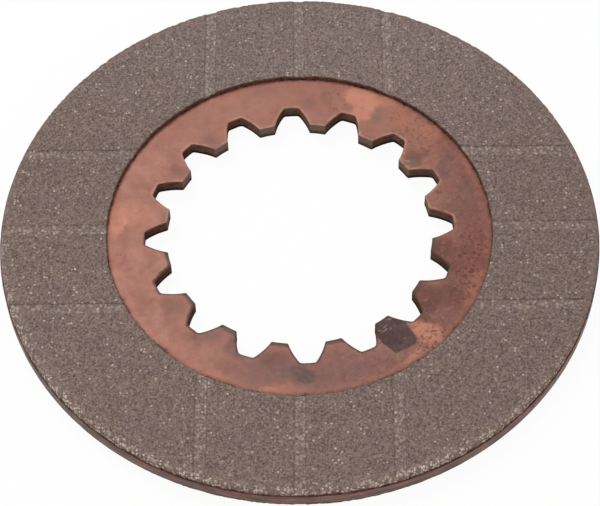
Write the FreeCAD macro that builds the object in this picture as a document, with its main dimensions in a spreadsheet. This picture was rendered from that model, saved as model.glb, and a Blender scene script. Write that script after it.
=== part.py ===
import FreeCAD, Part
import Sketcher
import os

# Friction disc of a wet brake: a stamped steel core plate with an internal involute spline,
# and a sintered friction lining bonded on each of its faces.
# Lengths are millimetres and angles degrees. +Z is the axis of the disc.
# The origin is on that axis, in the middle of the core plate's thickness.

driving_sizes = {
    # Core plate
    "core_diameter": 200.0,          # outside of the steel core
    "core_gauge": 5.0,               # thickness of the plate it is stamped from
    "core_edge_break": 0.3,          # chamfer on every edge of the stamped outline
    # Internal spline: module 6, so 16 teeth give a pitch circle of 96
    "spline_teeth": 16,
    "spline_pitch_diameter": 96.0,
    "spline_pressure_angle": 30.0,   # on the pitch circle
    "spline_root_depth": 3.45,       # from the pitch circle out to the bottom of a space
    "spline_tip_height": 3.57,       # from the pitch circle in to the top of a tooth
    "spline_root_fillet": 0.6,       # in both corners at the bottom of a space
    "spline_cut_overrun": 4.0,       # how far the cut of a space runs in past the tooth tops
    "spline_turn": 3.0,              # from +Y to the middle of the first space
    # Friction linings
    "lining_bore": 128.7,
    "lining_gauge": 1.8,             # thickness of each lining
    "lining_inset": 0.3,             # from the core's rim in to the foot of the lining
    "lining_edge_lean": 0.4,         # how far the outer wall leans in from foot to face
    "lining_corner": 0.4,            # rounding between the outer wall and the face
    # Pressed oil grooves, the same grid on both linings
    "groove_count": 3,               # in each of the two directions
    "groove_pitch": 31.25,
    "groove_width": 4.0,             # at the lining's face
    "groove_depth": 0.5,
    "groove_wall_lean": 0.2,         # how far each groove wall leans in from face to floor
}

# Rules over the sheet that more than one feature uses
core_radius = "(sizes.core_diameter / 2)"
tip_radius = "(sizes.spline_pitch_diameter / 2 - sizes.spline_tip_height)"
root_radius = "(sizes.spline_pitch_diameter / 2 + sizes.spline_root_depth)"
lining_foot = "(sizes.core_gauge / 2)"
lining_face = "(sizes.core_gauge / 2 + sizes.lining_gauge)"
lining_rim = "(sizes.core_diameter / 2 - sizes.lining_inset)"

near = 0.01                          # for finding an edge or an end by where it lies


def make_sheet():
    """Put every driving dimension into one spreadsheet, under its own alias."""
    page = doc.addObject("Spreadsheet::Sheet", "sizes")
    for row, (name, value) in enumerate(driving_sizes.items(), start=1):
        page.set(f"A{row}", name)
        page.set(f"B{row}", str(value))
        page.setAlias(f"B{row}", name)
    doc.recompute()
    return page


def value_of(rule):
    """Work a rule out to a number, from the sizes as they stand in the sheet."""
    return float(sheet.evalExpression(rule))


def make_body(label):
    body = doc.addObject("PartDesign::Body", label)
    body.Label = label
    return body


def origin_feature(body, role):
    """Find one of the body's own origin planes or axes, such as XY_Plane or X_Axis."""
    return next(item for item in body.Origin.OriginFeatures if item.Role == role)


def make_sketch(body, name, role):
    sketch = body.newObject("Sketcher::SketchObject", name)
    sketch.AttachmentSupport = [(origin_feature(body, role), "")]
    sketch.MapMode = "FlatFace"
    return sketch


def point_at(rules):
    return FreeCAD.Vector(value_of(rules[0]), value_of(rules[1]), 0)


def pin_point(sketch, geometry, end, rules):
    """Hold one point of a sketch at its rule for x and its rule for y."""
    for kind, rule in zip(("DistanceX", "DistanceY"), rules):
        index = sketch.addConstraint(Sketcher.Constraint(kind, -1, 1, geometry, end, value_of(rule)))
        sketch.setExpression(f"Constraints[{index}]", rule)


def end_near(sketch, geometry, point):
    """Which end of a line or an arc lies at a point: 1 is its start and 2 its end."""
    return 1 if sketch.getPoint(geometry, 1).distanceToPoint(point) < near else 2


def draw_outline(sketch, corners, arcs=None):
    """Draw a closed outline in an empty sketch, with each corner held by its two rules.

    The side after a corner is straight, unless arcs holds one more point that it runs through.
    """
    arcs = arcs or {}
    for side, start in enumerate(corners):
        end = corners[(side + 1) % len(corners)]
        if side in arcs:
            curve = Part.Arc(point_at(start), point_at(arcs[side]), point_at(end))
        else:
            curve = Part.LineSegment(point_at(start), point_at(end))
        sketch.addGeometry(curve, False)
    for side, corner in enumerate(corners):
        last = (side - 1) % len(corners)
        ends = [(geometry, end_near(sketch, geometry, point_at(corner))) for geometry in (last, side)]
        sketch.addConstraint(Sketcher.Constraint("Coincident", *ends[0], *ends[1]))
        pin_point(sketch, *ends[1], corner)
    for side, middle in arcs.items():
        mark = sketch.addGeometry(Part.Point(point_at(middle)), True)
        sketch.addConstraint(Sketcher.Constraint("PointOnObject", mark, 1, side))
        pin_point(sketch, mark, 1, middle)


def draw_circle(sketch, radius_rule):
    radius = value_of(radius_rule)
    circle = Part.Circle(FreeCAD.Vector(0, 0, 0), FreeCAD.Vector(0, 0, 1), radius)
    geometry = sketch.addGeometry(circle, False)
    sketch.addConstraint(Sketcher.Constraint("Coincident", geometry, 3, -1, 1))
    index = sketch.addConstraint(Sketcher.Constraint("Radius", geometry, radius))
    sketch.setExpression(f"Constraints[{index}]", radius_rule)


def cut_and_repeat(body, sketch, name, pattern_kind):
    """Cut a sketch right through, both ways, and add the pattern that repeats the cut."""
    before = body.Tip.Shape.Volume
    pocket = body.newObject("PartDesign::Pocket", f"{name}_first")
    pocket.Profile = sketch
    pocket.Midplane = True
    pocket.Type = "ThroughAll"
    doc.recompute()
    if not pocket.Shape.Volume < before:
        raise RuntimeError(f"{pocket.Label} cut nothing")
    pattern = body.newObject(f"PartDesign::{pattern_kind}", name)
    pattern.Originals = [pocket]
    body.Tip = pattern
    return pattern


def dress_edges(body, kind, name, size_name, size_rule, wanted):
    """Add a fillet or a chamfer on every edge of the body for which wanted(edge) is true."""
    base = body.Tip
    edges = [f"Edge{index}" for index, edge in enumerate(base.Shape.Edges, start=1) if wanted(edge)]
    dress = body.newObject(f"PartDesign::{kind}", name)
    dress.Base = (base, edges)
    dress.setExpression(size_name, size_rule)
    doc.recompute()
    return dress


def flank_point(radius, side):
    """The rules for a point on a flank of the first space, at a radius.

    Side 1 is the flank clockwise of the space's middle, and -1 the other. The half angle of the
    space follows the involute of the base circle, and inside that circle the flank is radial.
    """
    pressure = "(sizes.spline_pressure_angle * 1deg)"
    base = f"(sizes.spline_pitch_diameter / 2 * cos({pressure}))"
    here = f"acos(min(1; {base} / {radius}))"
    half = (f"(90deg / sizes.spline_teeth + tan({pressure}) * 1rad - {pressure}"
            f" - tan({here}) * 1rad + {here})")
    angle = f"(90deg + sizes.spline_turn * 1deg - ({side}) * {half})"
    return f"{radius} * cos({angle})", f"{radius} * sin({angle})"


def draw_spline_space(sketch):
    """One space between two teeth: each flank an arc through three points of its involute."""
    inside = f"({tip_radius} - sizes.spline_cut_overrun)"
    middle = f"(({tip_radius} + {root_radius}) / 2)"
    corners = [flank_point(radius, 1) for radius in (inside, tip_radius, root_radius)]
    corners += [flank_point(radius, -1) for radius in (root_radius, tip_radius, inside)]
    turn = "(90deg + sizes.spline_turn * 1deg)"
    bottom = (f"{root_radius} * cos({turn})", f"{root_radius} * sin({turn})")
    arcs = {1: flank_point(middle, 1), 2: bottom, 3: flank_point(middle, -1)}
    draw_outline(sketch, corners, arcs)


def is_root_corner(edge):
    """True for an upright edge in a corner at the bottom of a space."""
    ends = [vertex.Point for vertex in edge.Vertexes]
    upright = len(ends) == 2 and abs(ends[0].z - ends[1].z) > sheet.core_gauge / 2
    return upright and abs((ends[0] - FreeCAD.Vector(0, 0, ends[0].z)).Length - value_of(root_radius)) < near


def is_face_edge(edge):
    """True for an edge that lies in the upper or the lower face of the core plate."""
    box = edge.BoundBox
    return box.ZLength < near and abs(abs(box.Center.z) - sheet.core_gauge / 2) < near


def make_core_plate():
    """A flat ring stamped out with its spline: one space is cut, and a pattern cuts the rest."""
    body = make_body("core_plate")
    outline = make_sketch(body, "core_outline", "XY_Plane")
    draw_circle(outline, core_radius)
    draw_circle(outline, tip_radius)
    blank = body.newObject("PartDesign::Pad", "core_blank")
    blank.Profile = outline
    blank.Midplane = True
    blank.setExpression("Length", "sizes.core_gauge")
    doc.recompute()
    space = make_sketch(body, "spline_space", "XY_Plane")
    draw_spline_space(space)
    spaces = cut_and_repeat(body, space, "spline_spaces", "PolarPattern")
    spaces.Axis = (origin_feature(body, "Z_Axis"), [""])
    spaces.Angle = 360
    spaces.setExpression("Occurrences", "sizes.spline_teeth")
    doc.recompute()
    dress_edges(body, "Fillet", "root_fillets", "Radius", "sizes.spline_root_fillet", is_root_corner)
    dress_edges(body, "Chamfer", "edge_break", "Size", "sizes.core_edge_break", is_face_edge)
    return body


def cut_grooves(body, name, plane, axis, side):
    """Cut one direction of grooves: a trapezoid section run right across, repeated at the pitch."""
    middle = "(-sizes.groove_pitch * (sizes.groove_count - 1) / 2)"
    wide = "(sizes.groove_width / 2)"
    narrow = "(sizes.groove_width / 2 - sizes.groove_wall_lean)"
    face = f"{side} * {lining_face}"
    floor = f"{side} * ({lining_face} - sizes.groove_depth)"
    above = f"{side} * ({lining_face} + sizes.groove_depth)"
    corners = [
        (f"{middle} - {wide}", face),
        (f"{middle} - {narrow}", floor),
        (f"{middle} + {narrow}", floor),
        (f"{middle} + {wide}", face),
        (f"{middle} + {wide}", above),
        (f"{middle} - {wide}", above),
    ]
    section = make_sketch(body, f"{name}_section", plane)
    draw_outline(section, corners)
    grooves = cut_and_repeat(body, section, name, "LinearPattern")
    grooves.Direction = (origin_feature(body, axis), [""])
    grooves.setExpression("Length", "sizes.groove_pitch * (sizes.groove_count - 1)")
    grooves.setExpression("Occurrences", "sizes.groove_count")
    doc.recompute()


def make_lining(label, side):
    """A grooved lining ring on one face of the core: side 1 is the upper face and -1 the lower."""
    body = make_body(label)
    bore = "(sizes.lining_bore / 2)"
    face_rim = f"({lining_rim} - sizes.lining_edge_lean)"
    foot = f"{side} * {lining_foot}"
    face = f"{side} * {lining_face}"
    section = make_sketch(body, f"{label}_section", "XZ_Plane")
    draw_outline(section, [(bore, foot), (lining_rim, foot), (face_rim, face), (bore, face)])
    ring = body.newObject("PartDesign::Revolution", f"{label}_ring")
    ring.Profile = section
    ring.ReferenceAxis = (origin_feature(body, "Z_Axis"), [""])
    ring.Angle = 360
    doc.recompute()

    def is_face_rim(edge):
        box = edge.BoundBox
        level = box.ZLength < near and abs(box.Center.z - value_of(face)) < near
        return level and abs(box.XMax - value_of(face_rim)) < near

    dress_edges(body, "Fillet", f"{label}_corner", "Radius", "sizes.lining_corner", is_face_rim)
    cut_grooves(body, f"{label}_grooves_along_y", "XZ_Plane", "X_Axis", side)
    cut_grooves(body, f"{label}_grooves_along_x", "YZ_Plane", "Y_Axis", side)
    return body


def check_document():
    """Stop before anything is written if an object of the document failed."""
    for item in doc.Objects:
        if "Invalid" in item.State or "Error" in item.State:
            raise RuntimeError(f"{item.Label}: {item.State}")


def check_piece(body):
    """Stop before anything is written if a piece isn't one valid solid."""
    shape = body.Shape
    if shape.isNull() or not shape.isValid() or len(shape.Solids) != 1:
        raise RuntimeError(f"{body.Label}: not one valid solid")


def export_piece(body):
    body.Shape.exportStep(f"parts/{body.Label}.step")
    box = body.Shape.optimalBoundingBox(False)
    print(f"{body.Label}: {box.XLength:.2f} x {box.YLength:.2f} x {box.ZLength:.2f} mm, "
          f"{body.Shape.Volume / 1000:.1f} cm3, {len(body.Shape.Faces)} faces")


doc = FreeCAD.newDocument("BrakeDisc")
sheet = make_sheet()
pieces = [make_core_plate(), make_lining("upper_lining", 1), make_lining("lower_lining", -1)]
doc.recompute()
check_document()
for piece in pieces:
    check_piece(piece)
os.makedirs("parts", exist_ok=True)
for piece in pieces:
    export_piece(piece)
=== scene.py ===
import bpy
import bmesh
import math
from mathutils import Matrix, Vector, kdtree, noise


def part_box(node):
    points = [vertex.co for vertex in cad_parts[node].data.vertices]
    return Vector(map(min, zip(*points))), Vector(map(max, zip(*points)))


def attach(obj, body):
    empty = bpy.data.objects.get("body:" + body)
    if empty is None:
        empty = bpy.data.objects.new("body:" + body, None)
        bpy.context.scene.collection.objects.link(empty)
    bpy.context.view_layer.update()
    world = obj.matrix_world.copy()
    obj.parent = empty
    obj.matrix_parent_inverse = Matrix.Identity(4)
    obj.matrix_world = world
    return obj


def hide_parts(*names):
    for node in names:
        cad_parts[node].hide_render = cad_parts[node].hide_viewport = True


# A used friction disc from an oil-bath brake: a copper-plated splined core between two sintered linings.
# Everything is in metres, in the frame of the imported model, with the disc's axis along Z.

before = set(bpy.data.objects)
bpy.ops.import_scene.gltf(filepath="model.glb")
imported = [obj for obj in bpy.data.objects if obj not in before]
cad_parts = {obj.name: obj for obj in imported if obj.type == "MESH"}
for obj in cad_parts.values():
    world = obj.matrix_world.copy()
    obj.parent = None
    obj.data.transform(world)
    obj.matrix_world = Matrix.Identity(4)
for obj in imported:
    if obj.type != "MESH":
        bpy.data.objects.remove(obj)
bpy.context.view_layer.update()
mm = 0.001
weld = 0.001 * mm              # points nearer to each other than this become one


# Sizes that follow the frame

def radiiOf(node):
    return [vertex.co.xy.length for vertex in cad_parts[node].data.vertices]


coreRadii = radiiOf("core_plate")
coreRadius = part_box("core_plate")[1].x
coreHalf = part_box("core_plate")[1].z
tipRadius = min(coreRadii)
rootRadius = max(radius for radius in coreRadii if radius < 0.6 * coreRadius)
boreRadius = min(radiiOf("upper_lining"))
liningFoot = max(radiiOf("upper_lining"))
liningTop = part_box("upper_lining")[1].z
gauge = liningTop - coreHalf
print("frame loaded, radii in mm: core", round(coreRadius / mm, 1), "and bore", round(boreRadius / mm, 1))


# Camera and stage

view = {
    "lens": 126.23,            # mm
    "sensor": 36,              # mm, the width
    "azimuth": 1.0,            # degrees round from the groove that runs towards the camera
    "elevation": 55.94,
    "roll": -1.409,
    "distance": 0.6985,
    "aim": (0.00006, -0.00925, 0.0025),
}
stage = {
    "floorSize": 6.0,
    "floorGrey": 0.95,
    "floorGlow": 0.94,         # share of plain white in the floor as the camera sees it
    "skyStrength": 0.5,
    "lamps": [                 # name, place, size, watts
        ("keyLamp", (-0.42, 0.55, 1.12), 0.7, 8.4),
        ("fillLamp", (0.5, -0.9, 0.8), 0.9, 2.2),
    ],
}


def makeCamera():
    azimuth, elevation = math.radians(view["azimuth"]), math.radians(view["elevation"])
    turn = Matrix.Rotation(azimuth, 3, "Z")
    back = turn @ Vector((0, -math.cos(elevation), math.sin(elevation)))
    facing = back.to_track_quat("Z", "Y").to_matrix() @ Matrix.Rotation(math.radians(view["roll"]), 3, "Z")
    camera = bpy.data.objects.new("camera", bpy.data.cameras.new("camera"))
    camera.data.lens = view["lens"]
    camera.data.sensor_width = view["sensor"]
    camera.data.clip_start = 0.01
    camera.location = turn @ Vector(view["aim"]) + back * view["distance"]
    camera.rotation_euler = facing.to_euler()
    bpy.context.collection.objects.link(camera)
    bpy.context.scene.camera = camera


def makeLamp(name, place, size, watts):
    lamp = bpy.data.objects.new(name, bpy.data.lights.new(name, "AREA"))
    lamp.data.energy = watts
    lamp.data.size = size
    lamp.location = place
    lamp.rotation_euler = Vector(place).to_track_quat("Z", "Y").to_euler()
    bpy.context.collection.objects.link(lamp)


# Short forms for shader nodes. A value is a number, a colour or the output of another node.

def plug(tree, socket, value):
    if isinstance(value, bpy.types.NodeSocket):
        tree.links.new(value, socket)
    else:
        socket.default_value = value


def addNode(tree, kind, inputs=(), **settings):
    node = tree.nodes.new(kind)
    for name, setting in settings.items():
        setattr(node, name, setting)
    for name, value in dict(inputs).items():
        plug(tree, node.inputs[name], value)
    return node


def calc(tree, operation, *values, clamp=False):
    return addNode(tree, "ShaderNodeMath", enumerate(values), operation=operation, use_clamp=clamp).outputs[0]


def ramp(tree, value, low, high, toLow=0.0, toHigh=1.0):
    inputs = {"Value": value, "From Min": low, "From Max": high, "To Min": toLow, "To Max": toHigh}
    return addNode(tree, "ShaderNodeMapRange", inputs, interpolation_type="SMOOTHSTEP").outputs[0]


def product(tree, *values):
    result = values[0]
    for value in values[1:]:
        result = calc(tree, "MULTIPLY", result, value)
    return result


def mix(tree, share, base, top, blend="MIX"):
    node = addNode(tree, "ShaderNodeMix", data_type="RGBA", blend_type=blend)
    for index, value in ((0, share), (6, base), (7, top)):
        plug(tree, node.inputs[index], value)
    return node.outputs[2]


def layersOf(tree, palette):
    # Gives a function that lays one colour over another through the product of some masks
    def layer(base, top, *masks):
        return mix(tree, product(tree, *masks), base, palette[top] if isinstance(top, str) else top)
    return layer


def stretch(tree, vector, factors):
    return addNode(tree, "ShaderNodeVectorMath", {0: vector, 1: factors}, operation="MULTIPLY").outputs[0]


def radiusAt(tree, place):
    flat = stretch(tree, place, (1, 1, 0))
    return addNode(tree, "ShaderNodeVectorMath", {0: flat}, operation="LENGTH").outputs["Value"]


def attribute(tree, name, output):
    node = addNode(tree, "ShaderNodeAttribute", attribute_name=name, attribute_type="GEOMETRY")
    return node.outputs[output]


def separate(tree, kind, value):
    # Splits a place into X, Y and Z or a colour into Red, Green and Blue
    socket = "Vector" if kind == "XYZ" else kind
    return addNode(tree, "ShaderNodeSeparate" + kind, {socket: value}).outputs


def clouds(tree, vector, size, detail=2.0, roughness=0.5):
    inputs = {"Vector": vector, "Scale": 1 / size, "Detail": detail, "Roughness": roughness}
    return addNode(tree, "ShaderNodeTexNoise", inputs).outputs["Fac"]


def cells(tree, vector, size, output="Distance"):
    return addNode(tree, "ShaderNodeTexVoronoi", {"Vector": vector, "Scale": 1 / size}).outputs[output]


def paint(red, green, blue):
    def linear(level):
        level /= 255
        return level / 12.92 if level < 0.04045 else ((level + 0.055) / 1.055) ** 2.4
    return (linear(red), linear(green), linear(blue), 1)


def newGroup(name, inputs, outputs):
    group = bpy.data.node_groups.new(name, "ShaderNodeTree")
    for socketName, kind, start in inputs:
        socket = group.interface.new_socket(socketName, in_out="INPUT", socket_type="NodeSocket" + kind)
        if start is not None:
            socket.default_value = start
    for socketName in outputs:
        group.interface.new_socket(socketName, in_out="OUTPUT", socket_type="NodeSocketFloat")
    return group, group.nodes.new("NodeGroupInput").outputs, group.nodes.new("NodeGroupOutput").inputs


def useGroup(tree, group, **inputs):
    node = tree.nodes.new("ShaderNodeGroup")
    node.node_tree = group
    for name, value in inputs.items():
        plug(tree, node.inputs[name], value)
    return node.outputs


def newMaterial(name):
    material = bpy.data.materials.new(name)
    material.use_nodes = True
    tree = material.node_tree
    return material, tree, tree.nodes["Principled BSDF"].inputs


def seenDirectly(tree):
    path = tree.nodes.new("ShaderNodeLightPath").outputs
    return calc(tree, "MAXIMUM", calc(tree, "MAXIMUM", path["Is Camera Ray"], path["Is Glossy Ray"]),
                path["Is Transmission Ray"])


def makeStage():
    bm = bmesh.new()
    bmesh.ops.create_grid(bm, x_segments=1, y_segments=1, size=stage["floorSize"] / 2)
    bmesh.ops.translate(bm, verts=bm.verts, vec=(0, 0, -liningTop))
    mesh = bpy.data.meshes.new("floor")
    bm.to_mesh(mesh)
    bm.free()
    floor = bpy.data.objects.new("floor", mesh)
    bpy.context.collection.objects.link(floor)

    material, tree, _ = newMaterial("whitePaper")
    tree.nodes.clear()
    grey = stage["floorGrey"]
    paper = addNode(tree, "ShaderNodeBsdfDiffuse", {"Color": (grey, grey, grey, 1)})
    glow = addNode(tree, "ShaderNodeEmission")
    share = calc(tree, "MULTIPLY", seenDirectly(tree), stage["floorGlow"])
    surface = addNode(tree, "ShaderNodeMixShader", {0: share, 1: paper.outputs[0], 2: glow.outputs[0]})
    addNode(tree, "ShaderNodeOutputMaterial", {"Surface": surface.outputs[0]})
    mesh.materials.append(material)

    world = bpy.data.worlds.new("studio")
    world.use_nodes = True
    bpy.context.scene.world = world
    tree = world.node_tree
    strength = ramp(tree, seenDirectly(tree), 0.0, 1.0, stage["skyStrength"], 1.0)
    plug(tree, tree.nodes["Background"].inputs["Color"], (1, 1, 1, 1))
    plug(tree, tree.nodes["Background"].inputs["Strength"], strength)
    for lamp in stage["lamps"]:
        makeLamp(*lamp)


bpy.context.scene.view_settings.view_transform = "Standard"
makeCamera()
makeStage()
print("camera and stage ready")


# Effects that both materials use

def makeMottle():
    # Cloudy patches with soft or hard borders
    sockets = [("Vector", "Vector", None), ("Size", "Float", 10 * mm), ("Level", "Float", 0.5),
               ("Softness", "Float", 0.1)]
    group, given, result = newGroup("mottle", sockets, ["Mask"])
    scale = calc(group, "DIVIDE", 1.0, given["Size"])
    inputs = {"Vector": given["Vector"], "Scale": scale, "Detail": 3.0, "Roughness": 0.55, "Distortion": 0.3}
    field = addNode(group, "ShaderNodeTexNoise", inputs).outputs["Fac"]
    low = calc(group, "SUBTRACT", given["Level"], given["Softness"])
    high = calc(group, "ADD", given["Level"], given["Softness"])
    plug(group, result["Mask"], ramp(group, field, low, high))
    return group


def makeSpecks():
    # Small round grains in some of the cells of a cell pattern
    sockets = [("Vector", "Vector", None), ("Size", "Float", 1 * mm), ("Share", "Float", 0.1),
               ("Fill", "Float", 0.4)]
    group, given, result = newGroup("specks", sockets, ["Mask", "Tone"])
    scale = calc(group, "DIVIDE", 1.0, given["Size"])
    pattern = addNode(group, "ShaderNodeTexVoronoi", {"Vector": given["Vector"], "Scale": scale}).outputs
    split = separate(group, "Color", pattern["Color"])
    chosen = calc(group, "LESS_THAN", split["Red"], given["Share"])
    inside = ramp(group, pattern["Distance"], given["Fill"], calc(group, "MULTIPLY", given["Fill"], 0.5))
    plug(group, result["Mask"], product(group, chosen, inside))
    plug(group, result["Tone"], split["Green"])
    return group


mottle, specks = makeMottle(), makeSpecks()


def patchAt(tree, vector, angle, radius, reachRound, reachOut, turn, softness):
    # A patch on the upper face, 1 in its middle and 0 outside, in degrees and mm. The texture holds its own
    # mapping, because separate vector nodes for so many patches would go beyond what one material may hold.
    around = math.radians(angle)
    spot = addNode(tree, "ShaderNodeTexGradient", {"Vector": vector}, gradient_type="SPHERICAL")
    mapping = spot.texture_mapping
    mapping.vector_type = "TEXTURE"
    mapping.translation = (radius * mm * math.cos(around), radius * mm * math.sin(around), coreHalf)
    mapping.rotation = (0, 0, math.radians(angle + turn - 90))
    mapping.scale = Vector((reachRound, reachOut, patchDepth)) * mm
    return ramp(tree, spot.outputs["Fac"], 0.0, softness)


def warped(tree, vector, size, amount):
    # Moves a vector about by noise, so that shapes drawn with it have ragged borders
    inputs = {"Vector": vector, "Scale": 1 / size, "Detail": 4.0, "Roughness": 0.62}
    push = addNode(tree, "ShaderNodeTexNoise", inputs).outputs["Color"]
    back = {0: vector, 1: (-amount / 2, -amount / 2, 0)}
    start = addNode(tree, "ShaderNodeVectorMath", back, operation="ADD").outputs[0]
    inputs = {0: push, 1: (amount, amount, 0), 2: start}
    return addNode(tree, "ShaderNodeVectorMath", inputs, operation="MULTIPLY_ADD").outputs[0]


# Copper plating

copper = {
    "base": paint(154, 107, 93),
    "pale": paint(164, 116, 103),
    "light": paint(189, 129, 108),
    "salmon": paint(168, 111, 92),
    "brown": paint(118, 77, 69),
    "umber": paint(96, 64, 58),
    "plum": paint(120, 88, 82),
    "rose": paint(146, 96, 90),
    "olive": paint(132, 108, 84),
    "grey": paint(112, 97, 87),
    "smoke": paint(94, 80, 75),
    "rust": paint(98, 52, 43),
    "crevice": paint(62, 40, 33),
    # A darker colour for dirt and painted shade at the foot of the lining's bore
    "dirtAndShade": paint(98, 72, 56),
    # The next three colours are a painted highlight along edges, also used for small bright spots, and
    # painted shade along edges and tooth tips
    "highlightAndSpot": paint(174, 130, 114),
    "nearEdgeShade": paint(78, 65, 55),
    "nearTipShade": paint(88, 74, 63),
    "tarnish": paint(73, 55, 53),
    "tarnishLight": paint(96, 78, 77),
    "scrape": paint(152, 120, 115),
    "wallBrown": paint(98, 66, 52),
    # A lighter olive for walls that face -X, partly painted light
    "wallOliveLit": paint(122, 94, 78),
    "wallFoot": paint(50, 39, 33),
    "wallTop": paint(128, 82, 70),
    "tipWall": paint(118, 97, 86),
    "tipWallFoot": paint(68, 56, 47),
    "rim": paint(152, 113, 103),
    "rimMark": paint(96, 75, 67),
    "rimPatch": paint(146, 94, 83),
    "rimGrey": paint(97, 82, 76),
    "rimGreyLight": paint(121, 104, 96),
    "rimScore": paint(74, 56, 49),
    "rimFoot": paint(58, 46, 40),
}
patchDepth = 6.0               # mm, how far the patches reach down from the upper face
# Patches on the upper face, in degrees from +X and mm: angle, radius, reach round the disc, reach outwards,
# turn, softness, colour, strength
copperPatches = [
    # The light and pale patches at 173 to 184 degrees, on the -X side, are partly a painted highlight
    (175.5, 61.0, 9.0, 3.4, 0, 0.45, "light", 0.7),
    (173.0, 54.5, 8.0, 7.0, 0, 0.9, "light", 0.5),
    (184.0, 50.5, 9.0, 6.0, 0, 0.9, "pale", 0.5),
    (215.0, 51.0, 10.0, 8.0, 0, 0.9, "plum", 0.45),
    (232.5, 49.0, 8.0, 7.0, 0, 0.6, "plum", 0.85),
    (247.5, 49.0, 7.0, 6.5, 0, 0.6, "plum", 0.95),
    (172.0, 46.5, 4.0, 3.0, 0, 0.8, "umber", 0.3),
    (260.5, 50.5, 7.0, 5.0, 0, 0.8, "umber", 0.4),
    (265.8, 61.2, 10.0, 2.4, 0, 0.7, "salmon", 0.5),
    (272.3, 57.0, 4.0, 2.9, 0, 0.3, "smoke", 0.85),
    (267.6, 55.4, 5.5, 3.6, 0, 0.7, "smoke", 0.55),
    (245.0, 62.0, 8.0, 2.6, 0, 0.8, "salmon", 0.5),
    (260.5, 62.6, 5.0, 1.6, 0, 0.6, "light", 0.45),
    (280.0, 63.2, 5.0, 1.2, 0, 0.6, "rose", 0.5),
    (102.5, 61.0, 8.0, 4.0, 0, 0.8, "plum", 0.3),
    (148.0, 48.0, 3.2, 4.5, 0, 0.7, "umber", 0.35),
    (129.0, 48.5, 5.0, 5.0, 0, 0.8, "plum", 0.45),
    (80.0, 57.0, 3.2, 6.0, 20, 0.7, "plum", 0.35),
    (86.0, 54.0, 3.4, 4.0, 0, 0.7, "plum", 0.5),
    (68.0, 60.0, 8.8, 5.6, 0, 0.4, "light", 1.0),
    (66.0, 54.5, 4.4, 6.0, -15, 0.5, "light", 0.85),
    (61.0, 62.0, 4.5, 2.6, 0, 0.5, "light", 0.6),
    (60.5, 53.5, 3.6, 6.5, 0, 0.8, "grey", 0.4),
    (53.0, 59.0, 9.0, 7.0, 0, 0.9, "salmon", 0.7),
    (43.0, 60.5, 7.0, 4.5, 0, 0.8, "salmon", 0.65),
    (27.0, 56.0, 3.0, 9.0, 44, 0.5, "plum", 0.85),
    (24.5, 63.8, 8.0, 1.5, 0, 0.7, "salmon", 0.6),
    (36.5, 53.5, 4.0, 3.0, 0, 0.8, "umber", 0.45),
    (33.5, 53.7, 1.0, 0.7, 0, 0.6, "olive", 0.8),
    (37.0, 48.5, 5.5, 5.0, 0, 0.7, "umber", 0.65),
    (35.5, 46.2, 3.6, 2.2, 0, 0.7, "grey", 0.7),
    (17.5, 49.6, 1.5, 1.0, 0, 0.8, "umber", 0.55),
    (19.6, 49.8, 1.1, 1.4, 0, 0.6, "olive", 0.5),
    (13.8, 56.0, 13.0, 9.0, 0, 0.9, "plum", 0.5),
    (351.5, 61.2, 14.0, 2.2, 0, 0.8, "rust", 0.35),
    (336.0, 62.0, 16.0, 3.6, 0, 0.7, "salmon", 0.45),
    (350.0, 47.5, 7.0, 6.5, 0, 0.7, "umber", 0.8),
    (349.0, 55.0, 11.0, 7.0, 0, 0.9, "umber", 0.4),
    (341.0, 53.0, 9.0, 7.0, 0, 0.8, "brown", 0.5),
    (331.0, 55.0, 9.0, 7.5, 0, 0.7, "umber", 0.7),
    (325.5, 49.0, 8.5, 7.5, 0, 0.5, "umber", 0.8),
    (321.0, 52.5, 5.5, 6.5, 0, 0.5, "umber", 0.75),
    (323.0, 58.0, 5.5, 5.5, 0, 0.8, "plum", 0.75),
    (329.0, 60.5, 7.0, 4.0, 0, 0.8, "brown", 0.5),
    (315.5, 58.0, 4.6, 8.0, 0, 0.5, "light", 0.85),
    (307.0, 62.0, 6.5, 2.2, 0, 0.6, "light", 0.65),
    (309.5, 59.3, 3.4, 1.2, 0, 0.6, "olive", 0.5),
    (302.0, 58.5, 1.2, 2.5, 0, 0.6, "olive", 0.5),
    (294.0, 58.0, 8.0, 6.0, 0, 0.8, "rose", 0.35),
]
# Corners of the burnt patch that covers the end of one tooth, in mm
tarnishCorners = [
    (33.3, -35.7), (37.7, -41.8), (37.5, -45.2), (31.0, -48.6), (24.4, -42.2), (20.0, -36.0), (28.7, -30.0),
]
# Scrapes and small bright spots, placed like the patches: angle, radius, reaches, turn, colour
copperScrapes = [
    (304.8, 48.5, 2.4, 0.3, 0, "scrape"),
    (307.0, 49.1, 0.6, 0.3, 20, "scrape"),
    (303.2, 47.6, 1.0, 0.3, -25, "scrape"),
    (308.2, 54.6, 0.5, 0.3, 30, "scrape"),
    (305.8, 47.4, 1.1, 0.3, 12, "scrape"),
    (309.4, 46.0, 0.9, 0.5, 0, "scrape"),
    (37.7, 46.4, 0.4, 2.1, -53, "highlightAndSpot"),
    (35.0, 45.4, 0.3, 1.4, -40, "highlightAndSpot"),
]
# Fields of rust freckles: angle, radius, reaches, whether they have olive borders, strength
freckleFields = [
    (346.0, 58.0, 24.0, 8.5, False, 0.75),
    (314.0, 60.5, 10.0, 6.0, True, 0.65),
    (45.0, 57.0, 17.0, 9.0, False, 0.4),
    (76.0, 57.0, 5.0, 9.0, False, 0.35),
]


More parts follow.
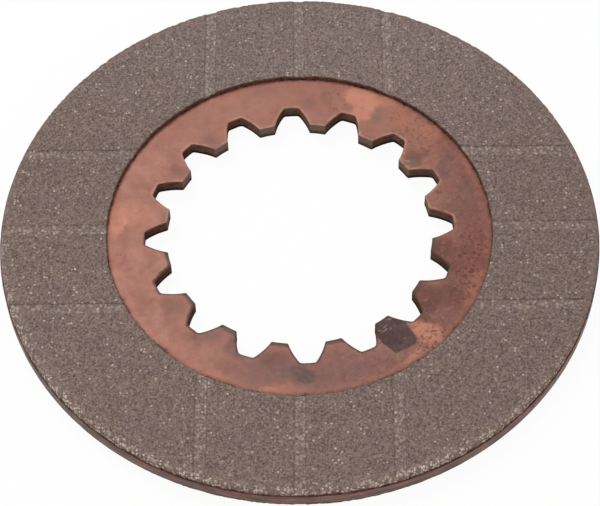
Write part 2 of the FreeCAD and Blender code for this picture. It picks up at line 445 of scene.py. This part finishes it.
def insideCorners(tree, place, corners, softness):
    # 1 on the inner side of each line that joins two neighbouring corners, given clockwise in mm
    wavy = calc(tree, "SUBTRACT", clouds(tree, place, 2.0 * mm, 4.0, 0.65), 0.5)
    field = None
    for (x0, y0), (x1, y1) in zip(corners, corners[1:] + corners[:1]):
        outward = Vector((y0 - y1, x1 - x0, 0)).normalized()
        along = addNode(tree, "ShaderNodeVectorMath", {0: place, 1: outward}, operation="DOT_PRODUCT")
        past = calc(tree, "SUBTRACT", along.outputs["Value"], outward.dot(Vector((x0, y0, 0))) * mm)
        field = past if field is None else calc(tree, "MAXIMUM", field, past)
    return ramp(tree, calc(tree, "MULTIPLY_ADD", wavy, 2.2 * mm, field), softness, -softness)


def makeCopper():
    material, tree, surface = newMaterial("copperPlating")
    coords = addNode(tree, "ShaderNodeTexCoord").outputs
    place = coords["Object"]
    toEdge = attribute(tree, "toEdge", "Fac")
    radius, where = radiusAt(tree, place), separate(tree, "XYZ", place)
    normal = separate(tree, "XYZ", coords["Normal"])
    drift = calc(tree, "SUBTRACT", clouds(tree, place, 11 * mm, 3.0, 0.55), 0.5)
    uneasy, fidgety = warped(tree, place, 5 * mm, 5 * mm), warped(tree, place, 1 * mm, 0.9 * mm)
    layer = layersOf(tree, copper)

    def patches(size, level, softness, factors=(1, 1, 1)):
        return useGroup(tree, mottle, Vector=stretch(tree, place, factors), Size=size, Level=level,
                        Softness=softness)["Mask"]

    def beyond(axis, low, high):
        # A ragged border across the disc: 0 at low and 1 at high, in mm
        return ramp(tree, calc(tree, "MULTIPLY_ADD", drift, 18 * mm, where[axis]), low * mm, high * mm)

    # Broad tones: pale on the -X side and brown on +X, partly real tone and partly a painted highlight
    # towards -X and painted shade towards +X, and plum on -Y
    colour = layer(copper["base"], "pale", patches(18 * mm, 0.5, 0.14), beyond("X", 20, -40), 0.6)
    colour = layer(colour, "plum", beyond("Y", -38, -56), beyond("X", -44, -8),
                   ramp(tree, radius, 65 * mm, 58 * mm, 0.5, 0.95))
    colour = layer(colour, "brown", beyond("X", 38, 58), 0.9)
    colour = layer(colour, "rose", patches(7 * mm, 0.52, 0.12), 0.3)
    colour = layer(colour, "olive", patches(6 * mm, 0.56, 0.1, (1, -1, 1)), 0.15)
    for *shape, name, strength in copperPatches:
        colour = layer(colour, name, patchAt(tree, uneasy, *shape), strength)
    colour = layer(colour, "salmon", ramp(tree, radius, 60.5 * mm, 63 * mm), patches(5 * mm, 0.46, 0.12), 0.4)

    # Fine mottling and rolling streaks, stronger on the tarnished side, and freckles of rust
    tarnished = ramp(tree, calc(tree, "MULTIPLY_ADD", where["Y"], -0.35, where["X"]), 8 * mm, 52 * mm)
    uneven = calc(tree, "MULTIPLY_ADD", tarnished, 0.7, 0.28)
    colour = layer(colour, "umber", patches(2.2 * mm, 0.58, 0.1), uneven, 0.4)
    colour = layer(colour, "salmon", patches(1.6 * mm, 0.62, 0.08, (1, -1, 1)), uneven, 0.36)
    colour = layer(colour, "rust", patches(1.3 * mm, 0.62, 0.06, (-1, 1, 1)), uneven, 0.3)
    diagonal = addNode(tree, "ShaderNodeVectorRotate", {"Vector": place, "Angle": math.radians(-38)},
                       rotation_type="Z_AXIS").outputs[0]
    streaks = clouds(tree, stretch(tree, diagonal, (0.12, 1, 1)), 0.7 * mm, 3.0, 0.6)
    colour = layer(colour, "plum", ramp(tree, streaks, 0.5, 0.72), uneven, 0.35)
    colour = layer(colour, "pale", ramp(tree, streaks, 0.42, 0.25), uneven, 0.35)
    spots = clouds(tree, place, 1.0 * mm, 2.0, 0.6)
    for *shape, ringed, strength in freckleFields:
        field = patchAt(tree, uneasy, *shape, 0, 0.6)
        if ringed:
            colour = layer(colour, "olive", ramp(tree, spots, 0.5, 0.55), field, 0.35 * strength)
        colour = layer(colour, "rust", ramp(tree, spots, 0.55, 0.6), field, strength)
    sparse = useGroup(tree, specks, Vector=place, Size=3.5 * mm, Share=0.06, Fill=0.14)
    colour = layer(colour, "rust", sparse["Mask"], 0.4)

    # Along the spline: a painted highlight along the edges on the far side, painted shade along the edges and
    # tooth tips on the near side, greyer tooth tops
    near = ramp(tree, where["Y"], 14 * mm, -14 * mm)
    far = calc(tree, "SUBTRACT", 1.0, near)
    fromEdge = calc(tree, "MULTIPLY_ADD", clouds(tree, place, 1.6 * mm, 3.0, 0.6), 1.6 * mm, toEdge)
    fromTip = calc(tree, "MULTIPLY_ADD", drift, 3.0 * mm, calc(tree, "SUBTRACT", radius, tipRadius))
    colour = layer(colour, "grey", ramp(tree, fromTip, 2.0 * mm, 0.3 * mm), far, 0.5)
    colour = layer(colour, "highlightAndSpot", ramp(tree, fromEdge, 2.1 * mm, 1.3 * mm), patches(3.5 * mm, 0.45, 0.12),
                   ramp(tree, near, 0, 1, 0.65, 0.1))
    colour = layer(colour, "nearTipShade", ramp(tree, fromTip, 2.1 * mm, 1.2 * mm), near, 0.75)
    colour = layer(colour, "nearEdgeShade", ramp(tree, fromEdge, 1.8 * mm, 1.2 * mm),
                   ramp(tree, near, 0.2, 1, 0.0, 0.85))

    # The burnt patch, with light flecks, and the scrapes
    burnt = insideCorners(tree, place, tarnishCorners, 0.35 * mm)
    burnt = product(tree, burnt, ramp(tree, where["Z"], 0.0, 1 * mm))
    colour = layer(colour, "tarnish", burnt, 0.95)
    colour = layer(colour, "tarnishLight", burnt, patches(3.0 * mm, 0.52, 0.12), 0.5)
    colour = layer(colour, "tarnishLight", burnt, patches(0.9 * mm, 0.58, 0.08), 0.45)
    colour = layer(colour, "crevice", burnt, patches(1.3 * mm, 0.6, 0.08, (-1, 1, 1)), 0.4)
    for *shape, name in copperScrapes:
        colour = layer(colour, name, patchAt(tree, fidgety, *shape, 0.7), 0.75)

    # Dirt and painted shade under the lining's bore: a wide ragged band on the far side and a thin broken
    # line on the near side
    bitten = calc(tree, "SUBTRACT", clouds(tree, place, 4 * mm, 3.0), 0.5)
    ragged = calc(tree, "MULTIPLY_ADD", clouds(tree, place, 1.2 * mm, 4.0, 0.7), 2.8 * mm, radius)
    ragged = calc(tree, "MULTIPLY_ADD", bitten, 2.8 * mm, ragged)
    ragged = calc(tree, "MULTIPLY_ADD", ramp(tree, where["Y"], -10 * mm, -45 * mm), 0.55 * mm, ragged)
    colour = layer(colour, "dirtAndShade", ramp(tree, ragged, boreRadius + 0.3 * mm, boreRadius + 1.3 * mm), 0.5)
    colour = layer(colour, "crevice", ramp(tree, ragged, boreRadius + 1.35 * mm, boreRadius + 1.75 * mm),
                   ramp(tree, near, 0, 1, 1.0, 0.75))

    # Walls of the spline: reddish at the top, then olive or brown, and black at the foot. The olive on
    # far-side walls that face -X is lighter, partly as painted light from the lamp on that side.
    unevenZ = calc(tree, "MULTIPLY_ADD", clouds(tree, place, 1.6 * mm, 3.0), 1.4 * mm, where["Z"])
    lines = clouds(tree, stretch(tree, place, (0.2, 0.2, 1)), 0.55 * mm, 2.0, 0.6)
    olive = product(tree, ramp(tree, normal["X"], 0.75, -0.75), ramp(tree, where["Y"], -20 * mm, 0.0))
    wall = layer(copper["wallBrown"], "wallOliveLit", olive)
    wall = layer(wall, "wallFoot", ramp(tree, lines, 0.42, 0.62, 0.0, 0.6))
    wall = layer(wall, "wallTop", ramp(tree, unevenZ, 2.2 * mm, 2.8 * mm, 0.0, 0.85))
    wall = layer(wall, "wallFoot", ramp(tree, unevenZ, 0.2 * mm, -1.0 * mm))
    tipWall = layer(copper["tipWall"], "tipWallFoot", ramp(tree, unevenZ, 1.2 * mm, -1.2 * mm))
    wall = layer(wall, tipWall, ramp(tree, radius, tipRadius + 0.5 * mm, tipRadius + 0.15 * mm))
    upright = ramp(tree, calc(tree, "ABSOLUTE", normal["Z"]), 0.75, 0.35)
    onWall = product(tree, upright, ramp(tree, radius, 80 * mm, 70 * mm))
    colour = layer(colour, wall, onWall)

    # The rim: turning marks all round, coppery on the near side and as grey as the lining towards -X
    turning = clouds(tree, stretch(tree, place, (0.04, 0.04, 1)), 0.45 * mm, 3.0, 0.7)
    scored = clouds(tree, stretch(tree, place, (0.03, 0.03, -1)), 0.3 * mm, 2.0, 0.5)
    rim = layer(copper["rim"], "rimMark", ramp(tree, turning, 0.4, 0.6))
    rim = layer(rim, "rimPatch", patches(5 * mm, 0.55, 0.1, (1, -1, 2)), 0.6)
    grainy = ramp(tree, clouds(tree, place, 0.6 * mm, 2.0), 0.4, 0.6)
    greyRim = layer(copper["rimGrey"], "rimGreyLight", grainy)
    dull = ramp(tree, calc(tree, "MULTIPLY_ADD", drift, 16 * mm, where["X"]), -52 * mm, -74 * mm, 0.15, 0.9)
    rim = layer(rim, greyRim, dull)
    rim = layer(rim, "rimScore", ramp(tree, scored, 0.5, 0.6, 0.0, 0.75))
    rim = layer(rim, "rimFoot", ramp(tree, where["Z"], -1.6 * mm, -2.3 * mm))
    # The seam under the lining, darkened with dirt and painted shade: unbroken where the rim is coppery and
    # in short lengths where it is dull
    seam = calc(tree, "MULTIPLY_ADD", clouds(tree, place, 1.5 * mm, 3.0, 0.65), 1.2 * mm, where["Z"])
    seam = ramp(tree, seam, 2.6 * mm, 3.0 * mm)
    seamColour = layer(copper["rust"], "crevice", patches(2.5 * mm, 0.5, 0.08))
    whole = ramp(tree, dull, 0.15, 0.9, 1.0, 0.0)
    torn = calc(tree, "MAXIMUM", patches(2.2 * mm, 0.48, 0.06, (-1, 1, 1)), whole)
    rim = layer(rim, seamColour, seam, torn, 0.9)
    colour = layer(colour, rim, ramp(tree, radius, liningFoot - 0.6 * mm, liningFoot - 0.2 * mm))
    plug(tree, surface["Base Color"], colour)

    grit = clouds(tree, place, 0.7 * mm, 4.0, 0.65)
    offWall = calc(tree, "SUBTRACT", 1.0, onWall)
    rough = ramp(tree, clouds(tree, place, 5 * mm, 4.0, 0.6), 0.3, 0.7, 0.42, 0.62)
    plug(tree, surface["Roughness"], calc(tree, "MAXIMUM", rough, product(tree, onWall, 0.8)))
    plug(tree, surface["Metallic"], product(tree, offWall, 0.25))
    plug(tree, surface["Specular IOR Level"], product(tree, offWall, 0.12))
    height = calc(tree, "MULTIPLY_ADD", streaks, 0.5, grit)
    bump = addNode(tree, "ShaderNodeBump", {"Strength": 0.3, "Distance": 0.06 * mm, "Height": height})
    plug(tree, surface["Normal"], bump.outputs[0])
    return material


# Sintered friction material

sinter = {
    "olive": paint(131, 112, 101),
    "purple": paint(129, 109, 103),
    "cool": paint(129, 112, 109),
    "pore": paint(70, 57, 51),
    "bright": paint(214, 200, 188),
    "rimGrain": paint(190, 168, 154),
    "edge": paint(116, 92, 83),
    "lip": paint(84, 54, 45),
    "lipWorn": paint(126, 92, 80),
    "wall": paint(104, 66, 52),
    "foot": paint(58, 37, 29),
}


def makeSinter():
    material, tree, surface = newMaterial("sinteredLining")
    place = addNode(tree, "ShaderNodeTexCoord").outputs["Object"]
    radius, where = radiusAt(tree, place), separate(tree, "XYZ", place)
    zone = separate(tree, "Color", attribute(tree, "zones", "Color"))
    groove, bore, outerWall = zone["Red"], zone["Green"], zone["Blue"]
    layer = layersOf(tree, sinter)

    def grains(size, share, fill, factors=(1, 1, 1)):
        return useGroup(tree, specks, Vector=stretch(tree, place, factors), Size=size, Share=share, Fill=fill)

    # Broad colour: two casts, olive and purple, darker towards +X, partly as painted shade away from the -X
    # side, and lighter towards +Y
    cast = useGroup(tree, mottle, Vector=place, Size=9 * mm, Level=0.5, Softness=0.14)["Mask"]
    cast = calc(tree, "SUBTRACT", cast, ramp(tree, where["X"], 30 * mm, 90 * mm, 0.0, 0.5), clamp=True)
    colour = layer(sinter["purple"], "olive", cast)
    colour = layer(colour, "cool", ramp(tree, where["Y"], 20 * mm, 90 * mm, 0.0, 0.6))
    farLeft = ramp(tree, calc(tree, "SUBTRACT", where["Y"], where["X"]), 50 * mm, 115 * mm, 0.0, -0.06)
    level = calc(tree, "ADD", ramp(tree, where["Y"], 20 * mm, 90 * mm, 0.988, 1.065), farLeft)
    level = calc(tree, "ADD", level, ramp(tree, where["X"], 30 * mm, 90 * mm, 0.0, -0.04))

    # Grains: every cell has a tone of its own, with pores between them and a few bright or dark ones
    tone = 0.0
    for size, amount in ((0.8 * mm, 0.32), (0.52 * mm, 0.38), (0.34 * mm, 0.24)):
        cell = separate(tree, "Color", cells(tree, place, size, "Color"))["Blue"]
        tone = calc(tree, "MULTIPLY_ADD", calc(tree, "SUBTRACT", cell, 0.5), amount, tone)
    bright = calc(tree, "ADD", tone, level)
    toned = addNode(tree, "ShaderNodeCombineColor", {"Red": bright, "Green": bright, "Blue": bright})
    colour = mix(tree, 1.0, colour, toned.outputs[0], "MULTIPLY")
    pore = ramp(tree, cells(tree, place, 0.62 * mm), 0.48, 0.8)
    colour = layer(colour, "pore", pore, 0.6)
    lightGrains = grains(1.0 * mm, 0.2, 0.5)
    colour = layer(colour, "bright", lightGrains["Mask"], ramp(tree, lightGrains["Tone"], 0.3, 1, 0.08, 0.6))
    darkGrains = grains(1.0 * mm, 0.1, 0.5, (-1, 1, 1))
    colour = layer(colour, "pore", darkGrains["Mask"], 0.6)

    # Groove floors keep more open, lighter grains. The outer edge does too, and it crumbles; its light band
    # is made strongest on the near side, partly as painted light where the lamps light the edge less.
    coarse = grains(1.25 * mm, 0.6, 0.6)["Mask"]
    colour = layer(colour, "bright", groove, calc(tree, "MULTIPLY_ADD", coarse, 0.25, 0.03))
    nearness = calc(tree, "MULTIPLY_ADD", where["X"], -0.25, product(tree, where["Y"], -1))
    nearness = ramp(tree, nearness, 0.0, 85 * mm, 0.15, 1.0)
    bandPatch = useGroup(tree, mottle, Vector=place, Size=14 * mm, Level=0.45, Softness=0.15)["Mask"]
    bandPatch = product(tree, calc(tree, "MULTIPLY_ADD", bandPatch, 0.6, 0.4), nearness)
    frayed = calc(tree, "MULTIPLY_ADD", clouds(tree, place, 3 * mm, 2.0), 1.6 * mm, radius)
    wide = ramp(tree, radius, liningFoot - 5.0 * mm, liningFoot - 1.5 * mm, 0.0, 0.22)
    narrow = ramp(tree, frayed, liningFoot - 1.5 * mm, liningFoot - 0.7 * mm)
    colour = layer(colour, "edge", narrow, 0.6)
    band = product(tree, calc(tree, "MULTIPLY_ADD", narrow, 0.7, wide), bandPatch)
    colour = layer(colour, "rimGrain", band, calc(tree, "MULTIPLY_ADD", coarse, 0.7, 0.1))
    chips = grains(0.75 * mm, 0.4, 0.6, (1, 1, -1))["Mask"]
    colour = layer(colour, "bright", band, chips)
    pits = grains(1.1 * mm, 0.3, 0.5, (1, -1, 1))["Mask"]
    colour = layer(colour, "lip", band, pits, 0.8)

    # Painted shade and dirt in the broken corners of the groove walls, less of it at the -X end of the middle
    # groove
    broken = ramp(tree, clouds(tree, place, 1.8 * mm, 3.0, 0.65), 0.36, 0.56)
    fresh = ramp(tree, calc(tree, "ABSOLUTE", where["Y"]), 9 * mm, 5 * mm)
    fresh = product(tree, fresh, ramp(tree, where["X"], -56 * mm, -66 * mm))
    corner = product(tree, groove, calc(tree, "SUBTRACT", 1.0, groove), ramp(tree, fresh, 0, 1, 1.5, 0.3))
    colour = layer(colour, "foot", corner, broken)

    # The lip of the bore, its wall, and the foot of the outer wall. The dark brown of the bore wall and of
    # the outer wall's foot is partly painted shade where the lining meets the core, with dirt.
    ragged = calc(tree, "MULTIPLY_ADD", clouds(tree, place, 1.3 * mm, 3.0, 0.65), 0.3, bore)
    dirtAndShade = ramp(tree, clouds(tree, place, 2.2 * mm, 3.0, 0.7), 0.4, 0.55)
    colour = layer(colour, layer(sinter["lipWorn"], "lip", dirtAndShade), ramp(tree, ragged, 0.24, 0.34, 0.0, 0.85))
    boreDirtAndShade = ramp(tree, clouds(tree, place, 1.2 * mm, 3.0, 0.6), 0.4, 0.65)
    colour = layer(colour, layer(sinter["wall"], "foot", boreDirtAndShade), ramp(tree, bore, 0.3, 0.6))
    # Light grains on the shoulder of the outer wall, most on the near side, partly painted light where the
    # lamps light it less
    shoulder = product(tree, ramp(tree, outerWall, 0.02, 0.15), ramp(tree, outerWall, 0.9, 0.6))
    colour = layer(colour, "bright", shoulder, chips, bandPatch)
    footMask = ramp(tree, calc(tree, "MULTIPLY_ADD", broken, 0.5, outerWall), 1.1, 1.3)
    colour = layer(colour, layer(sinter["wall"], "foot", dirtAndShade), footMask)
    plug(tree, surface["Base Color"], colour)

    height = calc(tree, "MULTIPLY_ADD", tone, 1.6, product(tree, pore, -0.7))
    plug(tree, surface["Roughness"], ramp(tree, tone, -0.3, 0.3, 0.85, 0.62))
    plug(tree, surface["Metallic"], product(tree, lightGrains["Mask"], 0.5))
    plug(tree, surface["Specular IOR Level"], 0.35)
    bump = addNode(tree, "ShaderNodeBump", {"Strength": 0.6, "Distance": 0.12 * mm, "Height": height})
    plug(tree, surface["Normal"], bump.outputs[0])
    return material


copperPlating, sinteredLining = makeCopper(), makeSinter()
print("materials ready")


# Mesh helpers

def turnRound(bm, steps, sectors):
    # One sector is spun and the rest are turned copies, which is far quicker than one full spin
    bmesh.ops.spin(bm, geom=bm.verts[:] + bm.edges[:], cent=(0, 0, 0), axis=(0, 0, 1),
                   angle=math.tau / sectors, steps=steps // sectors)
    repeatRound(bm, sectors)


def repeatRound(bm, sectors):
    sector = bm.verts[:] + bm.edges[:] + bm.faces[:]
    for number in range(1, sectors):
        copied = bmesh.ops.duplicate(bm, geom=sector)["geom"]
        bmesh.ops.rotate(bm, verts=[part for part in copied if isinstance(part, bmesh.types.BMVert)],
                         cent=(0, 0, 0), matrix=Matrix.Rotation(number * math.tau / sectors, 3, "Z"))
    bmesh.ops.remove_doubles(bm, verts=bm.verts, dist=weld)


def finishPiece(bm, name, node, material):
    bmesh.ops.recalc_face_normals(bm, faces=bm.faces)
    mesh = bpy.data.meshes.new(name)
    bm.to_mesh(mesh)
    bm.free()
    mesh.materials.append(material)
    mesh.shade_smooth()
    piece = bpy.data.objects.new(name, mesh)
    bpy.context.collection.objects.link(piece)
    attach(piece, "root")
    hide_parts(node)
    print(name, "made with", sum(len(face.vertices) - 2 for face in mesh.polygons), "triangles")
    return piece


def waver(point, size, seed=0.0):
    return noise.noise(Vector(point) / size + Vector((seed, seed * 0.7, seed * 1.3)))


# Core plate

core = {
    "teeth": 16,
    "pitchRadius": 48 * mm,
    "pressureAngle": 30,       # degrees
    "spaceTurn": 3,            # degrees from +Y to the middle of the first space
    "rootFillet": 0.6 * mm,
    "tipWear": 0.4 * mm,       # the worn corners of the teeth, seen from above
    "edgeWear": 0.28 * mm,     # rounding between the walls and the faces
    "rimWear": 0.3 * mm,
    "faceRings": 9,
    "wander": 0.05 * mm,       # how far wear moves the walls of the teeth
}


def involute(angle):
    return math.tan(angle) - angle


def spaceHalfAngle(radius):
    pressure = math.radians(core["pressureAngle"])
    here = math.acos(min(1.0, core["pitchRadius"] * math.cos(pressure) / radius))
    return math.pi / (2 * core["teeth"]) + involute(pressure) - involute(here)


def polar(radius, angle):
    return Vector((radius * math.sin(angle), radius * math.cos(angle), 0))


def curveThrough(start, corner, end, count):
    # Rounds off a corner between two points, the ends included
    shares = [number / count for number in range(count + 1)]
    return [start.lerp(corner, share).lerp(corner.lerp(end, share), share) for share in shares]


def halfSpace():
    # From the middle of a space, on +Y, to the middle of the tooth beside it
    fillet, tipWear = core["rootFillet"], core["tipWear"]
    rootAngle, tipAngle = spaceHalfAngle(rootRadius), spaceHalfAngle(tipRadius)
    filletStart, toothMiddle = rootAngle - fillet / rootRadius, math.pi / core["teeth"]
    flankStart, flankEnd = rootRadius - fillet, tipRadius + tipWear
    landStart = tipAngle + tipWear / tipRadius
    points = [polar(rootRadius, filletStart * number / 4) for number in range(4)]
    points += curveThrough(polar(rootRadius, filletStart), polar(rootRadius, rootAngle),
                           polar(flankStart, spaceHalfAngle(flankStart)), 4)
    flank = [flankStart + (flankEnd - flankStart) * number / 7 for number in range(1, 7)]
    points += [polar(radius, spaceHalfAngle(radius)) for radius in flank]
    points += curveThrough(polar(flankEnd, spaceHalfAngle(flankEnd)), polar(tipRadius, tipAngle),
                           polar(tipRadius, landStart), 4)
    points += [polar(tipRadius, landStart + (toothMiddle - landStart) * number / 4) for number in range(1, 5)]
    return points


def drawSpline(bm):
    half = halfSpace()
    sector = [Vector((-point.x, point.y, 0)) for point in reversed(half[1:])] + half
    corners = [bm.verts.new(point) for point in sector]
    for first, second in zip(corners, corners[1:]):
        bm.edges.new((first, second))
    repeatRound(bm, core["teeth"])
    turn = Matrix.Rotation(math.radians(core["spaceTurn"]), 3, "Z")
    bmesh.ops.rotate(bm, verts=bm.verts, cent=(0, 0, 0), matrix=turn)
    return bm.edges[:]


def drawCircle(bm, radius, count):
    corners = bmesh.ops.create_circle(bm, segments=count, radius=radius)["verts"]
    return list({edge for corner in corners for edge in corner.link_edges})


def bridge(bm, inner, outer, rings):
    made = bmesh.ops.bridge_loops(bm, edges=inner + outer)
    bmesh.ops.subdivide_edges(bm, edges=made["edges"], cuts=rings - 1, use_grid_fill=True)


def edgesBetween(bm, low, high):
    # Sharp edges of the two faces of the plate, between two radii
    def lies(vertex):
        return low < vertex.co.xy.length < high and abs(vertex.co.z) > 0.9 * coreHalf
    return [edge for edge in bm.edges if len(edge.link_faces) == 2 and edge.calc_face_angle() > 1
            and all(lies(vertex) for vertex in edge.verts)]


def outlineTree(bm):
    # For finding the point of the toothed outline that is nearest to a place
    tree = kdtree.KDTree(len(bm.verts))
    for vertex in bm.verts:
        tree.insert(vertex.co, vertex.index)
    tree.balance()
    return tree


def makeCorePlate():
    bm = bmesh.new()
    toothed = drawSpline(bm)
    outline = outlineTree(bm)
    count = len(toothed)
    hidden = drawCircle(bm, boreRadius + 2 * mm, count)
    rim = drawCircle(bm, coreRadius, count)
    bridge(bm, toothed, hidden, core["faceRings"])
    bridge(bm, hidden, rim, 2)
    bmesh.ops.translate(bm, verts=bm.verts, vec=(0, 0, -coreHalf))
    top = bmesh.ops.extrude_face_region(bm, geom=bm.faces[:])["geom"]
    bmesh.ops.translate(bm, verts=[part for part in top if isinstance(part, bmesh.types.BMVert)],
                        vec=(0, 0, 2 * coreHalf))
    bmesh.ops.recalc_face_normals(bm, faces=bm.faces)
    for low, high, wear in ((0, boreRadius, core["edgeWear"]), (boreRadius, 1, core["rimWear"])):
        bmesh.ops.bevel(bm, geom=edgesBetween(bm, low, high), offset=wear, segments=3, profile=0.5,
                        affect="EDGES", material=-1)
    upright = [edge for edge in bm.edges if abs(edge.verts[0].co.z - edge.verts[1].co.z) > coreHalf]
    bmesh.ops.subdivide_edges(bm, edges=upright, cuts=5, use_grid_fill=True)
    toEdge = bm.verts.layers.float.new("toEdge")
    for vertex in bm.verts:
        radius = vertex.co.xy.length
        vertex[toEdge] = outline.find(vertex.co.xy.to_3d())[2]
        if radius < boreRadius - 2 * mm:
            shift = waver(vertex.co, 2.5 * mm) + 0.5 * waver(vertex.co, 0.9 * mm)
            vertex.co += vertex.co.xy.normalized().to_3d() * core["wander"] * (1 + shift)
        elif radius > coreRadius - 0.5 * mm:
            shift = 0.5 + waver((vertex.co.x, vertex.co.y, vertex.co.z * 8), 3 * mm)
            vertex.co -= vertex.co.xy.normalized().to_3d() * core["wander"] * max(0, shift)
    piece = finishPiece(bm, "corePlate", "core_plate", copperPlating)
    piece.modifiers.new("weightedNormals", "WEIGHTED_NORMAL").keep_sharp = True
    return piece


makeCorePlate()


# Friction linings

lining = {
    "steps": 960,              # divisions all round
    "sectors": 20,
    "rings": 64,               # rings of faces from the bore to the rim
    "grooves": (-1, 0, 1),
    "groovePitch": 31.25 * mm,
    "grooveWidth": 4 * mm,
    "grooveDepth": 0.45 * mm,
    "grooveLean": 0.35 * mm,
    "grooveWander": 0.12 * mm,
    "edgeLean": 0.4 * mm,      # how far the outer wall leans in
    "corner": 0.4 * mm,        # rounding of the outer edge
    "edgeZone": 0.95 * mm,     # the strip along the outer edge that crumbles
    "grain": 0.05 * mm,        # height of the grains on the face
    "crumble": 0.3 * mm,       # how far the outer edge has broken away
    "boreCrumble": 0.5 * mm,
    "lipWidth": 1.0 * mm,      # the worn lip of the bore on the near side
    "lipDrop": 0.85 * mm,
}


def grooveDepthAt(x, y):
    # 0 on the face and 1 on the floor of a groove
    inside = max(lining["grooveWidth"] / 2 - abs(across - number * lining["groovePitch"])
                 for across in (x, y) for number in lining["grooves"])
    return min(1.0, max(0.0, inside / lining["grooveLean"]))


def liningSection():
    # Round the section from the foot of the bore wall: radius, and height as a share of the gauge
    corner = lining["corner"]
    shoulder = liningFoot - lining["edgeLean"] - corner
    section = [(boreRadius, number / 4) for number in range(4)]
    section += [(boreRadius, 1), (boreRadius + 0.25 * mm, 1)]
    section += [(boreRadius + (shoulder - boreRadius) * number / lining["rings"], 1)
                for number in range(1, lining["rings"] + 1)]
    for degrees in (25, 50, 75):
        angle = math.radians(degrees)
        section.append((shoulder + corner * math.sin(angle), 1 - corner / gauge * (1 - math.cos(angle))))
    section += [(liningFoot - lining["edgeLean"] * height, height) for height in (0.6, 0.4, 0.2, 0)]
    return section


def makeLining(name, node, side):
    bm = bmesh.new()
    corners = [bm.verts.new((radius, 0, height)) for radius, height in liningSection()]
    for first, second in zip(corners, corners[1:] + corners[:1]):
        bm.edges.new((first, second))
    turnRound(bm, lining["steps"], lining["sectors"])
    # Cut lines along the top and the foot of every groove wall
    halfWidth, lean = lining["grooveWidth"] / 2, lining["grooveLean"]
    for number in lining["grooves"]:
        for offset in (-halfWidth, lean - halfWidth, halfWidth - lean, halfWidth):
            for normal in (Vector((1, 0, 0)), Vector((0, 1, 0))):
                point = normal * (number * lining["groovePitch"] + offset)
                bmesh.ops.bisect_plane(bm, geom=bm.verts[:] + bm.edges[:] + bm.faces[:], dist=weld,
                                       plane_co=point, plane_no=normal)
    # The zones say where the groove floors, the bore wall with its lip and the outer wall are
    zones = bm.verts.layers.float_color.new("zones")
    for vertex in bm.verts:
        x, y, height = vertex.co
        radius = math.hypot(x, y)
        outward = Vector((x, y, 0)) / radius
        groove = grooveDepthAt(x, y)
        onBore, onRim = radius < boreRadius + 0.01 * mm, radius > liningFoot - lining["edgeZone"]
        worn = (0.5 - 0.5 * y / radius) * max(0.0, 1 - (radius - boreRadius) / lining["lipWidth"])
        rise = height * (gauge - groove * lining["grooveDepth"] - worn ** 2 * lining["lipDrop"])
        if height > 0.7:
            bumps = waver((x, y, side), 0.55 * mm) + waver((x, y, side), 1.3 * mm)
            rise -= lining["grain"] * max(0.0, 0.5 + 0.5 * bumps)
        spot = (x, y, height * mm)
        lump = waver(spot, 1.6 * mm, side) + 0.6 * waver(spot, 0.6 * mm, side)
        chip = max(0.0, waver((x, y, 0), 6 * mm, side + 5) - 0.25)
        shift = Vector((waver((x, y, 0), 3 * mm, side + 2), waver((x, y, 0), 3 * mm, side + 3), 0))
        vertex.co = Vector((x, y, 0)) + shift * (0 if onRim else lining["grooveWander"])
        if onBore:
            lump = waver(spot, 0.75 * mm, side) + 0.7 * waver(spot, 2 * mm, side)
            vertex.co += outward * lining["boreCrumble"] * (lump * (0.3 + 0.3 * height) + 4 * chip * height)
            rise *= 1 - 0.12 * height * max(0.0, 1 + lump)
        if onRim and height > 0:
            vertex.co -= outward * lining["crumble"] * max(0.0, 0.3 + lump) * (0.3 + 0.7 * height)
            rise *= 1 - 0.12 * max(0.0, lump + 2 * chip) * height
        vertex.co.z = side * (coreHalf + max(0.0, rise))
        beside = 0.15 if radius < boreRadius + 0.3 * mm else 0
        lip = 0.3 + 0.7 * (1 - height) if onBore else max(0.25 * worn, beside)
        vertex[zones] = (groove, lip, (1 - height) if onRim else 0, 1)
    return finishPiece(bm, name, node, sinteredLining)


makeLining("upperLining", "upper_lining", 1)
makeLining("lowerLining", "lower_lining", -1)


print("all pieces made")
